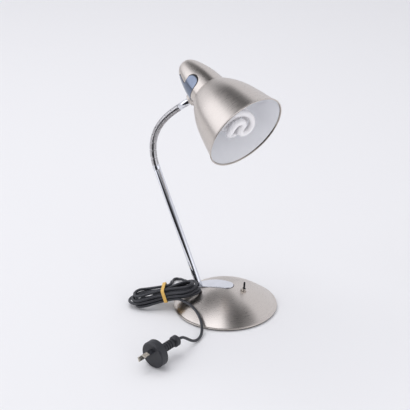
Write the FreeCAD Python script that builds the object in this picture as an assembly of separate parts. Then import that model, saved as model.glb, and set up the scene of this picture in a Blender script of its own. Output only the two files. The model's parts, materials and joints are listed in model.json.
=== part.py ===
import FreeCAD, Part
import math
import os

# Dome shade desk lamp: domed base, leaning stem, gooseneck and a swivelling
# head, with its mains lead tied in a hank behind the stem.
# Millimetres, +Z up, +X the side of the switch, origin under the base centre.

V = FreeCAD.Vector
X_AXIS = V(1, 0, 0)
Y_AXIS = V(0, 1, 0)
Z_AXIS = V(0, 0, 1)
ORIGIN = V(0, 0, 0)

# ---- base -----------------------------------------------------------------
base_radius = 75.0
dome_rise = 32.0
dome_wall = 1.2
lip_width = 9.0
rim_round = 0.8
pad_thickness = 2.0
pad_inset = 2.5
plate_thickness = 1.2
plate_gap = 0.5
weight_height = 8.0
weight_gap = 0.7
screw_count = 3
screw_circle = 48.0
screw_radius = 1.9
screw_length = 6.0
screw_head_radius = 3.4

# ---- leaf plate on the dome -----------------------------------------------
leaf_rise = 1.2
leaf_front_x = 1.5
leaf_front_half_width = 10.4
leaf_middle_x = -28.0
leaf_middle_half_width = 11.4
leaf_rear_x = -46.0
leaf_rear_half_width = 8.5
leaf_seat_gap = 0.05
leaf_edge_round = 0.5

# ---- toggle switch --------------------------------------------------------
switch_x = 28.0
bushing_radius = 3.0
bushing_height = 4.6
bushing_bore = 2.3
bushing_bore_depth = 9.0
switch_nut_flats = 8.0
switch_nut_height = 2.0
switch_body_length = 13.0
switch_body_width = 8.0
switch_body_depth = 9.5
switch_washer_radius = 5.6
switch_washer_thickness = 1.0
lever_ball_radius = 2.1
lever_pivot_below_rim = 1.0
lever_radius = 1.35
lever_tip_radius = 1.5
lever_length = 9.5
lever_tail_radius = 0.8
lever_tail_length = 4.5
lever_lean = 12.5
terminal_count = 3
terminal_pitch = 4.7
terminal_length = 3.5
terminal_width = 2.0
terminal_thickness = 0.8
window_gap = 5.0

# ---- stem -----------------------------------------------------------------
stem_foot_x = -41.5
stem_angle = 110.34
stem_length = 190.2
stem_radius = 5.0
stem_wall = 1.0
cap_collar_radius = 5.35
cap_collar_length = 5.0
cap_spigot_length = 12.0
stud_in_tube = 16.0
stud_below_dome = 13.0
stud_gap = 0.05
stem_washer_radius = 9.0
stem_washer_thickness = 2.0
stem_nut_flats = 13.0
stem_nut_height = 5.0

# ---- gooseneck ------------------------------------------------------------
neck_start_angle = 106.0
link_length = 12.0
link_turns = [6.7, 7.8, 11.0, 10.0, 9.5, 9.0, 6.8, 4.7, 3.4]
link_gap = 1.35
rib_crest_radius = 5.0
rib_groove_radius = 4.35
rib_count = 8
rib_flank = 0.2
rib_groove = 0.3
ball_radius = 3.55
ball_gap = 0.2
wire_bore_radius = 2.2

# ---- ferrule and head joint -----------------------------------------------
ferrule_length = 21.0
ferrule_radius = 5.0
spigot_radius = 3.95
spigot_gap = 0.1
shoulder_gap = 0.1
boss_reach = 30.5
boss_radius = 9.0
seat_reach = 23.1
seat_radius = 6.2
bracket_thickness = 0.8
strap_half_width = 7.0
strap_gap = 1.6
pad_margin = 0.5
strap_beyond_nipple = 3.0
joint_washer_thickness = 0.5
joint_nut_height = 2.0
joint_nut_flats = 10.0
spigot_beyond_nut = 0.4
head_tilt = 67.8
head_turn = -25.8
mouth_to_pivot = 88.5

# ---- head shells, as radius and distance back from the mouth --------------
shade_outline = [(58.2, 0.0), (55.7, 10.0), (53.3, 20.0), (49.5, 35.0), (44.9, 50.0),
                 (38.0, 65.0), (33.3, 73.0), (27.3, 81.6)]
shade_wall = 0.9
lip_bead_radius = 1.0
crease_back = 82.0
cover_outline = [(27.0, 82.0), (26.0, 90.0), (24.8, 100.0), (22.8, 110.0), (20.0, 120.0),
                 (16.4, 130.0), (13.4, 136.0), (8.6, 141.0)]
cover_end = 143.0
cover_wall = 2.2

# ---- chrome saddle let into the cover -------------------------------------
saddle_front = 91.4
saddle_back = 110.6
saddle_half_angle = 91.0
lobe_radius = 9.6
tongue_back = 129.0
tongue_half_angle = 62.0
saddle_recess = 0.9
saddle_seat_gap = 0.1
saddle_proud = 0.35
saddle_gap = 0.35

# ---- lampholder and lamp --------------------------------------------------
holder_front = 77.0
holder_radius = 17.5
holder_shoulder = mouth_to_pivot + 6.5
holder_rear_radius = 15.2
holder_back = 108.0
holder_end = 113.0
holder_bore = 13.9
holder_floor = 104.5
flange_radius = 21.0
flange_thickness = 2.5
holder_gap = 0.3
nipple_radius = 4.9
nipple_gap = 0.1
nipple_length = 8.0
holder_nut_flats = 13.0
holder_nut_height = 2.5
ring_outer = 22.0
ring_height = 3.5
sleeve_wall = 0.4
cap_radius = 13.2
cap_length = 25.5
cap_tip_radius = 5.0
cap_tip_length = 1.2
contact_radius = 4.0
housing_front = 60.0
housing_radius = 21.0
housing_rear_radius = 15.5
spiral_radius = 18.5
lamp_tube_radius = 4.4
spiral_pitch = 26.0
spiral_turns = 1.25
spiral_start_back = 43.0
spiral_entry_angle = 28.0
spiral_entry_length = 3.0

# ---- mains lead -----------------------------------------------------------
cord_radius = 2.0
exit_azimuth = 157.0
exit_height = 6.6
cord_inner_reach = base_radius - 25.0
bushing_inner_reach = base_radius - 13.0
bushing_outer_reach = base_radius + 11.0
bushing_root_radius = 3.2
bushing_end_radius = 2.5
bushing_flange_radius = 3.9
bushing_flange_thickness = 1.6
cord_clearance = 0.1

hank_middle = V(-78.5, -37.7, 22.7)
hank_heading = 17.3
hank_slope = 15.8
strand_step = 4.8
bundle_half_runs = [9.6, 7.2, 4.8, 2.4, 4.8, 7.2, 9.6, 12.0, 9.6, 7.2, 4.8, 2.4, 4.8, 7.2]
bundle_climbs = [3, 7, 11]
bundle_turn_a = 34.2
bundle_waist = 5.0
bundle_start_a = 12.0
bundle_end_a = 3.5

# stretch from the hank to the base, first in the bundle's own directions
lead_first_run = 5.0
lead_over_bundle = [V(10.9, 11.6, 8.2), V(9.8, 18.0, 7.2)]
lead_route = [V(-80.0, -12.0, 27.0), V(-84.3, -5.0, 20.0), V(-88.3, 3.0, 13.5),
              V(-92.3, 12.0, 8.0), V(-95.6, 21.5, 3.6), V(-98.2, 30.8, 2.2),
              V(-99.6, 38.6, 2.2), V(-97.0, 42.6, 2.2), V(-92.4, 42.6, 2.4)]
lead_last_run = 7.0

# stretch from the hank over the dome to the plug
tail_first_run = 8.0
tail_route = [V(-47.0, -45.5, 20.5), V(-34.5, -50.5, 20.5), V(-23.3, -57.7, 19.0),
              V(-13.9, -65.7, 16.0), V(-6.4, -74.4, 12.0), V(-1.1, -83.0, 7.5),
              V(2.1, -92.0, 4.0), V(3.3, -101.2, 2.6), V(2.3, -110.4, 2.9),
              V(0.1, -117.8, 5.5), V(-2.7, -124.1, 10.5), V(-5.4, -130.7, 16.5)]
tail_last_run = 7.0

tie_width = 4.5
tie_thickness = 1.2
tie_gap = 0.3

# ---- plug -----------------------------------------------------------------
plug_face = V(-26.4, -193.0, 19.0)
plug_heading = -108.45
plug_pitch = -2.24
plug_roll_hint = V(0.642, -0.195, -0.725)
plug_radius = 18.75
plug_rim = 1.6
plug_side = 11.5
plug_thickness = 16.0
plug_back_radius = 13.0
boot_root_radius = 7.0
boot_end = 51.0
boot_rib_radius = 6.2
boot_groove_radius = 5.0
boot_ribs_start = 22.0
boot_rib_pitch = 4.2
boot_rib_count = 4
boot_rib_width = 2.6
boot_collar_radius = 7.9
boot_collar_start = 40.5
boot_collar_round = 1.8
pin_length = 17.0
pin_width = 6.35
pin_thickness = 1.63
pin_spacing = 13.7
pin_angle = 30.0
pin_offset = 5.0
pin_root = 6.0
sleeve_length = 8.5
sleeve_thickness = 0.35


# ---- general helpers ------------------------------------------------------
def save(name, *solids):
    """One sub-part, alone or as a group of like solids."""
    shape = solids[0] if len(solids) == 1 else Part.makeCompound(list(solids))
    shape.exportStep("parts/%s.step" % name)
    volume = sum(s.Volume for s in shape.Solids)
    print("%-18s solids %d volume %.1f valid %s" % (name, len(shape.Solids), volume, shape.isValid()))


def unit(vector):
    return V(vector).normalize()


def slant(angle):
    """Direction in the lamp's middle plane, angle up from +X."""
    a = math.radians(angle)
    return V(math.cos(a), 0, math.sin(a))


def frame_at(origin, z_direction, x_hint):
    """Placement whose Z runs along z_direction and X close to x_hint."""
    z = unit(z_direction)
    y = unit(z.cross(x_hint))
    x = y.cross(z)
    return FreeCAD.Placement(origin, FreeCAD.Rotation(x, y, z, "ZXY"))


def placed(shape, placement):
    moved = shape.copy()
    moved.Placement = placement.multiply(moved.Placement)
    return moved


def rod(radius, start, end, direction=Z_AXIS, centre=ORIGIN):
    """Cylinder along a direction, between two distances from centre."""
    axis = unit(direction)
    return Part.makeCylinder(radius, end - start, centre + axis * start, axis)


def turned(points):
    """Solid of revolution about Z from (radius, height) corners."""
    corners = [V(r, 0, z) for r, z in points]
    face = Part.Face(Part.makePolygon(corners + corners[:1]))
    return face.revolve(ORIGIN, Z_AXIS, 360)


def hexagon(flats, start, end):
    """Hexagonal prism along Z."""
    corner = flats / math.sqrt(3.0)
    points = [V(corner * math.cos(math.radians(60 * k)), corner * math.sin(math.radians(60 * k)), start)
              for k in range(7)]
    return Part.Face(Part.makePolygon(points)).extrude(V(0, 0, end - start))


def ring_nut(flats, bore, start, end):
    return hexagon(flats, start, end).cut(rod(bore, start - 1, end + 1))


def circle_wire(radius, placement):
    wire = Part.Wire([Part.Circle(ORIGIN, Z_AXIS, radius).toShape()])
    wire.Placement = placement
    return wire


def cleaned(shape):
    """Single solid of a boolean result, with split faces joined."""
    refined = shape.removeSplitter()
    return refined.Solids[0] if len(refined.Solids) == 1 else refined


# ---- tube helpers ---------------------------------------------------------
def arc_or_line(start, tangent_corner, end):
    """Arc that leaves start towards the corner and reaches end from it."""
    middle = (start + end) * 0.5
    half_turn = (tangent_corner - start).getAngle(end - start)
    if half_turn < 1e-5:
        return Part.LineSegment(start, end).toShape()
    share = math.cos(half_turn) / (1 + math.cos(half_turn))
    return Part.Arc(start, middle + (tangent_corner - middle) * share, end).toShape()


def biarc(start, start_direction, end, end_direction):
    """Two arcs that meet smoothly, from one point and direction to the next."""
    t0 = unit(start_direction)
    t1 = unit(end_direction)
    chord = end - start
    bend = 1 - t0.dot(t1)
    along = chord.dot(t0 + t1)
    square = chord.dot(chord)
    if bend < 1e-9:
        reach = square / (2 * along)
    else:
        reach = (-along + math.sqrt(along * along + 2 * bend * square)) / (2 * bend)
    first = start + t0 * reach
    second = end - t1 * reach
    joint = (first + second) * 0.5
    return [arc_or_line(start, first, joint), arc_or_line(joint, second, end)]


def smooth_path(stations):
    """Edges through (point, direction) stations."""
    edges = []
    for (p0, t0), (p1, t1) in zip(stations, stations[1:]):
        if (p1 - p0).getAngle(t0) < 1e-6 and t0.getAngle(t1) < 1e-6:
            edges.append(Part.LineSegment(p0, p1).toShape())
        else:
            edges.extend(biarc(p0, t0, p1, t1))
    return edges


def rounded_route(points, name):
    """Straight runs joined by tangent arcs as large as the runs allow."""
    edges = []
    radii = []
    last = points[0]
    for before, corner, after in zip(points, points[1:], points[2:]):
        come = corner - before
        go = after - corner
        half_turn = come.getAngle(go) / 2
        cut = 0.45 * min(come.Length, go.Length)
        radii.append(cut / math.tan(half_turn))
        start = corner - unit(come) * cut
        end = corner + unit(go) * cut
        edges.append(Part.LineSegment(last, start).toShape())
        edges.append(arc_or_line(start, corner, end))
        last = end
    edges.append(Part.LineSegment(last, points[-1]).toShape())
    print("%s arc radii %s" % (name, " ".join("%.1f" % r for r in radii)))
    return edges


def tube_along(edges, radius, name):
    """Round tube on a smooth path; prints its volume against the plain sum."""
    path = Part.Wire(edges)
    first = edges[0]
    start = first.valueAt(first.FirstParameter)
    direction = first.tangentAt(first.FirstParameter)
    hint = Y_AXIS if abs(unit(direction).dot(Y_AXIS)) < 0.9 else X_AXIS
    profile = circle_wire(radius, frame_at(start, direction, hint))
    solid = path.makePipeShell([profile], True, False)
    tube = Part.Solid(solid) if solid.ShapeType != "Solid" else solid
    if tube.Volume < 0:
        tube.reverse()
    length = sum(e.Length for e in edges)
    plain = math.pi * radius * radius * length
    print("%s length %.1f volume %.1f of %.1f" % (name, length, tube.Volume, plain))
    return tube


def least_gap(edges, radius, name, spacing=1.0):
    """Least distance between parts of one tube that aren't neighbours."""
    points = []
    travelled = 0.0
    for edge in edges:
        steps = max(2, int(edge.Length / spacing))
        for point in edge.discretize(steps)[:-1]:
            points.append((travelled, point))
            travelled += edge.Length / (steps - 1)
    best = 1e9
    apart = 4 * math.pi * radius
    for i, (u, p) in enumerate(points):
        for w, q in points[i + 1:]:
            if w - u > apart:
                best = min(best, p.distanceToPoint(q))
    print("%s least gap to itself %.2f" % (name, best - 2 * radius))


# ---- shapes shared by several sub-parts -----------------------------------
dome_bottom = pad_thickness
dome_top = dome_bottom + dome_rise
sphere_radius = (base_radius ** 2 + dome_rise ** 2) / (2 * dome_rise)
sphere_centre = V(0, 0, dome_top - sphere_radius)


def dome_ball(offset):
    """Ball whose surface lies offset above the dome's outer face."""
    return Part.makeSphere(sphere_radius + offset, sphere_centre)


def dome_height(x):
    return sphere_centre.z + math.sqrt(sphere_radius ** 2 - x ** 2)


def dome_normal(x):
    return unit(V(x, 0, dome_height(x)) - sphere_centre)


lip_top = dome_bottom + dome_wall
weight_top = lip_top + weight_height

stem_direction = slant(stem_angle)
stem_foot = V(stem_foot_x, 0, dome_height(stem_foot_x))
stem_top = stem_foot + stem_direction * stem_length
stem_bore = stem_radius - stem_wall

switch_normal = dome_normal(switch_x)
switch_seat = V(switch_x, 0, dome_height(switch_x))
switch_frame = frame_at(switch_seat, switch_normal, X_AXIS)
lever_pivot = bushing_height - lever_pivot_below_rim


def link_station(index, travel):
    """Point and direction angle on a link's centre line."""
    point, angle = link_starts[index]
    turn = math.radians(link_turns[index]) / link_length
    now = math.radians(angle) - turn * travel
    start = math.radians(angle)
    dx = (math.sin(start) - math.sin(now)) / turn
    dz = (math.cos(now) - math.cos(start)) / turn
    return point + V(dx, 0, dz), math.degrees(now)


link_starts = [(stem_top, neck_start_angle)]
for number in range(len(link_turns)):
    link_starts.append(link_station(number, link_length))

neck_end, ferrule_angle = link_starts[-1]
ferrule_direction = slant(ferrule_angle)
ferrule_reach = boss_reach + shoulder_gap
head_pivot = neck_end + ferrule_direction * (ferrule_length + ferrule_reach)
toward_neck = ferrule_direction * -1

level_axis = slant(ferrule_angle - head_tilt)
head_axis = FreeCAD.Rotation(ferrule_direction, head_turn).multVec(level_axis)
mouth_centre = head_pivot + head_axis * mouth_to_pivot
head_frame = frame_at(mouth_centre, head_axis * -1, toward_neck)

tilt = math.radians(head_tilt)
inlet_direction = V(math.sin(tilt), 0, math.cos(tilt))
inlet_origin = V(0, 0, mouth_to_pivot)


# ---- base -----------------------------------------------------------------
def make_base_pad():
    pad = rod(base_radius - pad_inset, 0, pad_thickness)
    save("base_pad", pad)


def make_bottom_plate():
    plate = rod(base_radius - lip_width - plate_gap, dome_bottom, lip_top)
    for centre in screw_centres():
        head = Part.makeCone(screw_head_radius, screw_radius, plate_thickness, centre, Z_AXIS)
        plate = plate.cut(head)
    save("bottom_plate", plate)


def screw_centres():
    for k in range(screw_count):
        a = 2 * math.pi * k / screw_count + math.pi / 2
        yield V(screw_circle * math.cos(a), screw_circle * math.sin(a), dome_bottom)


def make_base_screws():
    screws = []
    for centre in screw_centres():
        head = Part.makeCone(screw_head_radius, screw_radius, plate_thickness, centre, Z_AXIS)
        shank = rod(screw_radius, 0, plate_thickness + screw_length, centre=centre)
        screws.append(cleaned(head.fuse(shank)))
    save("base_screws", *screws)


def bushing_path():
    a = math.radians(exit_azimuth)
    outward = V(math.cos(a), math.sin(a), 0)
    return outward, V(0, 0, exit_height)


def make_base_dome():
    slab = rod(base_radius + 1, dome_bottom, dome_top + 1)
    outer = dome_ball(0).common(slab)
    rim = [e for e in outer.Edges if abs(e.BoundBox.ZMax - dome_bottom) < 0.01 and e.Length > base_radius]
    outer = outer.makeFillet(rim_round, rim)
    inner = dome_ball(-dome_wall).common(rod(base_radius, lip_top, dome_top))
    throat = rod(base_radius - lip_width, dome_bottom - 1, lip_top + 1)
    shell = outer.cut(inner).cut(throat)
    shell = shell.cut(rod(stem_bore + stud_gap, -4 * dome_wall, 1, stem_direction, stem_foot))
    shell = shell.cut(rod(bushing_radius + stud_gap, -4, 4, switch_normal, switch_seat))
    outward, height = bushing_path()
    gland = rod(bushing_root_radius + stud_gap, base_radius - lip_width - 6, base_radius + 2, outward, height)
    save("base_dome", cleaned(shell.cut(gland)))


def make_base_weight():
    block = dome_ball(-dome_wall - weight_gap).common(rod(base_radius, lip_top, weight_top))
    window = switch_body_length / 2 + window_gap
    block = block.cut(rod(window, 0, weight_top + 1, centre=V(switch_x - window_gap / 2, 0, 0)))
    for centre in screw_centres():
        block = block.cut(rod(screw_radius + stud_gap, -1, screw_length + dome_wall + 1, centre=centre))
    outward, height = bushing_path()
    half = bushing_flange_radius + weight_gap
    slot = Part.makeBox(base_radius, 2 * half, weight_height + 2,
                        V(cord_inner_reach - half, -half, lip_top - 1))
    slot.rotate(ORIGIN, Z_AXIS, exit_azimuth)
    save("base_weight", cleaned(block.cut(slot)))


def leaf_face():
    """Leaf outline seen from above: round nose, drawn-out rounded tail."""
    front = leaf_front_x + leaf_front_half_width
    rear = leaf_rear_x - leaf_rear_half_width
    nose = Part.Arc(V(leaf_front_x, -leaf_front_half_width, 0), V(front, 0, 0),
                    V(leaf_front_x, leaf_front_half_width, 0)).toShape()
    tail = Part.Arc(V(leaf_rear_x, leaf_rear_half_width, 0), V(rear, 0, 0),
                    V(leaf_rear_x, -leaf_rear_half_width, 0)).toShape()
    left = Part.Arc(V(leaf_front_x, leaf_front_half_width, 0), V(leaf_middle_x, leaf_middle_half_width, 0),
                    V(leaf_rear_x, leaf_rear_half_width, 0)).toShape()
    right = Part.Arc(V(leaf_rear_x, -leaf_rear_half_width, 0), V(leaf_middle_x, -leaf_middle_half_width, 0),
                     V(leaf_front_x, -leaf_front_half_width, 0)).toShape()
    return Part.Face(Part.Wire([nose, left, tail, right]))


def make_base_leaf():
    column = leaf_face().extrude(V(0, 0, dome_top + 5))
    plate = column.common(dome_ball(leaf_rise)).cut(dome_ball(leaf_seat_gap))
    plate = plate.cut(rod(stem_radius + 0.2, -5, 10, stem_direction, stem_foot))
    top = [e for e in plate.Edges if e.Length > 8 and min(v.Point.distanceToPoint(sphere_centre)
           for v in e.Vertexes) > sphere_radius + leaf_rise - 0.01
           and e.BoundBox.Center.distanceToPoint(stem_foot) > 2 * stem_radius]
    save("base_leaf", cleaned(plate.makeFillet(leaf_edge_round, top)))


# ---- stem -----------------------------------------------------------------
def make_stem():
    collar_end = stem_length - link_gap / 2
    tube_end = collar_end - cap_collar_length
    tube = rod(stem_radius, -4, tube_end, stem_direction, stem_foot)
    tube = tube.cut(rod(stem_bore, -5, tube_end + 1, stem_direction, stem_foot)).cut(dome_ball(0))
    save("stem_tube", cleaned(tube))

    collar = rod(cap_collar_radius, tube_end, collar_end, stem_direction, stem_foot)
    spigot = rod(stem_bore - stud_gap, tube_end - cap_spigot_length, collar_end, stem_direction, stem_foot)
    ball = Part.makeSphere(ball_radius, stem_top)
    bore = rod(wire_bore_radius, 0, stem_length + 10, stem_direction, stem_foot)
    save("stem_cap", cleaned(collar.fuse([spigot, ball]).cut(bore)))

    stud = rod(stem_bore - stud_gap, -stud_below_dome, stud_in_tube, stem_direction, stem_foot)
    stud = stud.cut(rod(wire_bore_radius, -stud_below_dome - 1, stud_in_tube + 1, stem_direction, stem_foot))
    save("stem_stud", cleaned(stud))

    washer_face = dome_wall + stem_washer_thickness
    washer = rod(stem_washer_radius, -washer_face, 2, stem_direction, stem_foot)
    washer = washer.cut(rod(stem_bore + stud_gap, -10, 10, stem_direction, stem_foot))
    save("stem_washer", cleaned(washer.common(dome_ball(-dome_wall))))

    nut = ring_nut(stem_nut_flats, stem_bore + stud_gap, -washer_face - stem_nut_height, -washer_face)
    save("stem_nut", placed(nut, frame_at(stem_foot, stem_direction, Y_AXIS)))


# ---- gooseneck ------------------------------------------------------------
def ribbed_body(index):
    """Ribs as rings about the link's arc, between its two joint gaps."""
    start = link_gap / 2
    body = link_length - link_gap
    pitch = body / rib_count
    crest = pitch - rib_groove - 2 * rib_flank
    rings = [(0.0, rib_groove_radius)]
    for k in range(rib_count):
        at = k * pitch + rib_groove / 2
        rings.append((at, rib_groove_radius))
        rings.append((at + rib_flank, rib_crest_radius))
        rings.append((at + rib_flank + crest, rib_crest_radius))
        rings.append((at + 2 * rib_flank + crest, rib_groove_radius))
    rings.append((body, rib_groove_radius))
    wires = []
    for travel, radius in rings:
        point, angle = link_station(index, start + travel)
        wires.append(circle_wire(radius, frame_at(point, slant(angle), Y_AXIS)))
    return Part.makeLoft(wires, True, True)


def make_links():
    for index in range(len(link_turns)):
        start, angle = link_starts[index]
        end, end_angle = link_starts[index + 1]
        chord = unit(end - start)
        link = ribbed_body(index).cut(Part.makeSphere(ball_radius + ball_gap, start))
        link = link.fuse(Part.makeSphere(ball_radius, end))
        link = link.cut(rod(wire_bore_radius, -1, link_length + 6, chord, start))
        save("gooseneck_link_%02d" % (index + 1), link.Solids[0])


# ---- ferrule, built along the line from the head pivot to the neck --------
def make_ferrule():
    shoulder = boss_reach + shoulder_gap
    end = shoulder + ferrule_length - link_gap / 2
    tip = seat_reach - bracket_thickness - joint_washer_thickness - joint_nut_height - spigot_beyond_nut
    body = rod(ferrule_radius, shoulder, end).fuse(rod(spigot_radius, tip, end))
    socket = Part.makeSphere(ball_radius + ball_gap, V(0, 0, shoulder + ferrule_length))
    body = cleaned(body.cut(socket).cut(rod(wire_bore_radius, tip - 1, end + 1)))
    where = frame_at(head_pivot, toward_neck, Y_AXIS)
    save("upper_ferrule", placed(body, where))

    washer_top = seat_reach - bracket_thickness
    washer_bottom = washer_top - joint_washer_thickness
    washer = rod(seat_radius - 0.2, washer_bottom, washer_top).cut(rod(spigot_radius, 0, boss_reach))
    save("ferrule_washer", placed(washer, where))
    nut = ring_nut(joint_nut_flats, spigot_radius, washer_bottom - joint_nut_height, washer_bottom)
    save("ferrule_nut", placed(nut, where))


# ---- head, built with Z running back from the mouth -----------------------
def outline_curve(points, offset=0.0, end_direction=None):
    """Smooth curve through (radius, back) points, moved inward by offset."""
    path = [V(r, 0, s) for r, s in points]
    curve = Part.BSplineCurve()
    if end_direction is None:
        curve.interpolate(path)
    else:
        first = path[1] - path[0]
        curve.interpolate(Points=path, InitialTangent=unit(first), FinalTangent=end_direction)
    if offset == 0.0:
        return curve
    moved = []
    for point in path:
        at = curve.parameter(point)
        along = V(curve.tangent(at)[0])
        inward = V(-along.z, 0, along.x)
        moved.append(point + inward * offset)
    return moved


def make_shade():
    outer = outline_curve(shade_outline)
    inner_points = outline_curve(shade_outline, shade_wall)
    inner_points[-1] = V(inner_points[-1].x, 0, crease_back - shade_wall)
    inner = Part.BSplineCurve()
    inner.interpolate(inner_points)
    first = outer.value(outer.FirstParameter)
    last = outer.value(outer.LastParameter)
    inner_first = inner_points[0]
    inner_last = inner_points[-1]
    hole = holder_radius + holder_gap
    flange_front = crease_back - shade_wall
    rim_outer = V(cover_outline[0][0], 0, crease_back)
    edges = [outer.toShape(),
             Part.LineSegment(last, rim_outer).toShape(),
             Part.LineSegment(rim_outer, V(hole, 0, crease_back)).toShape(),
             Part.LineSegment(V(hole, 0, crease_back), V(hole, 0, flange_front)).toShape(),
             Part.LineSegment(V(hole, 0, flange_front), inner_last).toShape(),
             inner.toShape(),
             Part.LineSegment(inner_first, first).toShape()]
    shell = Part.Face(Part.Wire(Part.__sortEdges__(edges))).revolve(ORIGIN, Z_AXIS, 360)
    bead_at = (first + inner_first) * 0.5
    bead = Part.makeTorus(bead_at.x, lip_bead_radius, V(0, 0, lip_bead_radius), Z_AXIS)
    save("shade", placed(cleaned(shell.fuse(bead)), head_frame))


def cover_solid(depth):
    """Solid neck form, its face moved inward by depth (outward if negative)."""
    points = list(cover_outline)
    full = points + [(0.0, cover_end)]
    inward = outline_curve(full, depth, V(-1, 0, 0)) if depth else [V(r, 0, s) for r, s in full]
    inward[-1] = V(0, 0, cover_end - depth)
    inward[0] = V(inward[0].x, 0, crease_back)
    curve = Part.BSplineCurve()
    curve.interpolate(Points=inward, InitialTangent=unit(inward[1] - inward[0]), FinalTangent=V(-1, 0, 0))
    foot = V(0, 0, crease_back)
    edges = [curve.toShape(),
             Part.LineSegment(inward[-1], foot).toShape(),
             Part.LineSegment(foot, inward[0]).toShape()]
    return Part.Face(Part.Wire(edges)).revolve(ORIGIN, Z_AXIS, 360)


def saddle_region(grow):
    """Where the saddle lies: a band with round ends and a tongue behind it."""
    reach = 2 * cover_outline[0][0]
    edge_angle = math.degrees(grow / cover_outline[2][0])

    def sector(front, back, half_angle):
        wedge = Part.makeCylinder(reach, back - front, V(0, 0, front), Z_AXIS, 2 * half_angle)
        wedge.rotate(ORIGIN, Z_AXIS, -half_angle)
        return wedge

    middle = (saddle_front + saddle_back) / 2
    band = sector(saddle_front - grow, saddle_back + grow, saddle_half_angle)
    tongue = sector(middle, tongue_back + grow, tongue_half_angle + edge_angle)
    region = band.fuse(tongue)
    for side in (-1, 1):
        a = math.radians(side * saddle_half_angle)
        lobe = rod(lobe_radius + grow, 0, reach, V(math.cos(a), math.sin(a), 0), V(0, 0, middle))
        region = region.fuse(lobe)
    return region


def make_neck_cover():
    shell = cover_solid(0).cut(cover_solid(cover_wall))
    recess = saddle_region(saddle_gap).cut(cover_solid(saddle_recess))
    shell = shell.cut(recess)
    boss = rod(boss_radius, seat_reach, boss_reach, inlet_direction, inlet_origin)
    seat = rod(seat_radius, seat_reach, boss_reach, inlet_direction, inlet_origin)
    outside = boss.cut(cover_solid(cover_wall))
    shell = shell.fuse(outside).fuse(seat)
    hole = rod(spigot_radius + spigot_gap, 0, boss_reach + 5, inlet_direction, inlet_origin)
    save("neck_cover", placed(cleaned(shell.cut(hole)), head_frame))


def make_neck_saddle():
    plate = cover_solid(-saddle_proud).cut(cover_solid(saddle_recess - saddle_seat_gap))
    plate = plate.common(saddle_region(0))
    plate = plate.cut(rod(boss_radius + saddle_gap, 0, 60, inlet_direction, inlet_origin))
    save("neck_saddle", placed(cleaned(plate), head_frame))


def make_holder():
    body = turned([(holder_bore, holder_front), (holder_radius, holder_front),
                   (holder_radius, crease_back), (flange_radius, crease_back),
                   (flange_radius, crease_back + flange_thickness),
                   (holder_radius, crease_back + flange_thickness),
                   (holder_radius, holder_shoulder - 2), (holder_rear_radius, holder_shoulder),
                   (holder_rear_radius, holder_back), (nipple_radius, holder_end),
                   (nipple_radius, holder_end + nipple_length), (wire_bore_radius, holder_end + nipple_length),
                   (wire_bore_radius, holder_floor), (holder_bore, holder_floor)])
    save("lampholder", placed(body, head_frame))

    sleeve = rod(holder_bore, holder_front + 2, holder_floor)
    sleeve = sleeve.cut(rod(holder_bore - sleeve_wall, holder_front, holder_floor + 1))
    save("holder_sleeve", placed(sleeve, head_frame))

    tip_back = holder_front - 0.5 + cap_length + cap_tip_length
    contact = rod(contact_radius, tip_back, holder_floor)
    save("holder_contact", placed(contact, head_frame))

    front = crease_back - shade_wall - ring_height
    ring = rod(ring_outer, front, front + ring_height)
    ring = ring.cut(rod(holder_radius, front - 1, front + ring_height + 1))
    save("shade_ring", placed(ring, head_frame))

    nut = ring_nut(holder_nut_flats, nipple_radius, holder_end + bracket_thickness,
                   holder_end + bracket_thickness + holder_nut_height)
    save("holder_nut", placed(nut, head_frame))


def make_holder_bracket():
    """Strap from the ferrule seat, back along the cover, in to the nipple."""
    pad_radius = seat_radius - pad_margin
    seat = rod(pad_radius, seat_reach - bracket_thickness, seat_reach, inlet_direction, inlet_origin)
    along = V(-inlet_direction.z, 0, inlet_direction.x)
    seat_face = inlet_origin + inlet_direction * seat_reach
    seat_back = inlet_origin + inlet_direction * (seat_reach - bracket_thickness)
    bend_outer = seat_face + along * (seat_radius + 1)
    bend_inner = seat_back + along * (seat_radius + 1)
    arm_x = holder_rear_radius + strap_gap
    nip_face = holder_end
    corners = [seat_face, bend_outer, V(arm_x + bracket_thickness, 0, nip_face + bracket_thickness),
               V(-nipple_radius - strap_beyond_nipple, 0, nip_face + bracket_thickness),
               V(-nipple_radius - strap_beyond_nipple, 0, nip_face), V(arm_x, 0, nip_face), bend_inner, seat_back]
    strap = Part.Face(Part.makePolygon(corners + corners[:1])).extrude(V(0, 2 * strap_half_width, 0))
    strap.translate(V(0, -strap_half_width, 0))
    strap = strap.fuse(seat)
    strap = strap.cut(rod(nipple_radius + nipple_gap, holder_end - 5, holder_end + 5))
    strap = strap.cut(rod(spigot_radius + spigot_gap, 0, boss_reach, inlet_direction, inlet_origin))
    save("holder_bracket", placed(cleaned(strap), head_frame))


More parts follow.
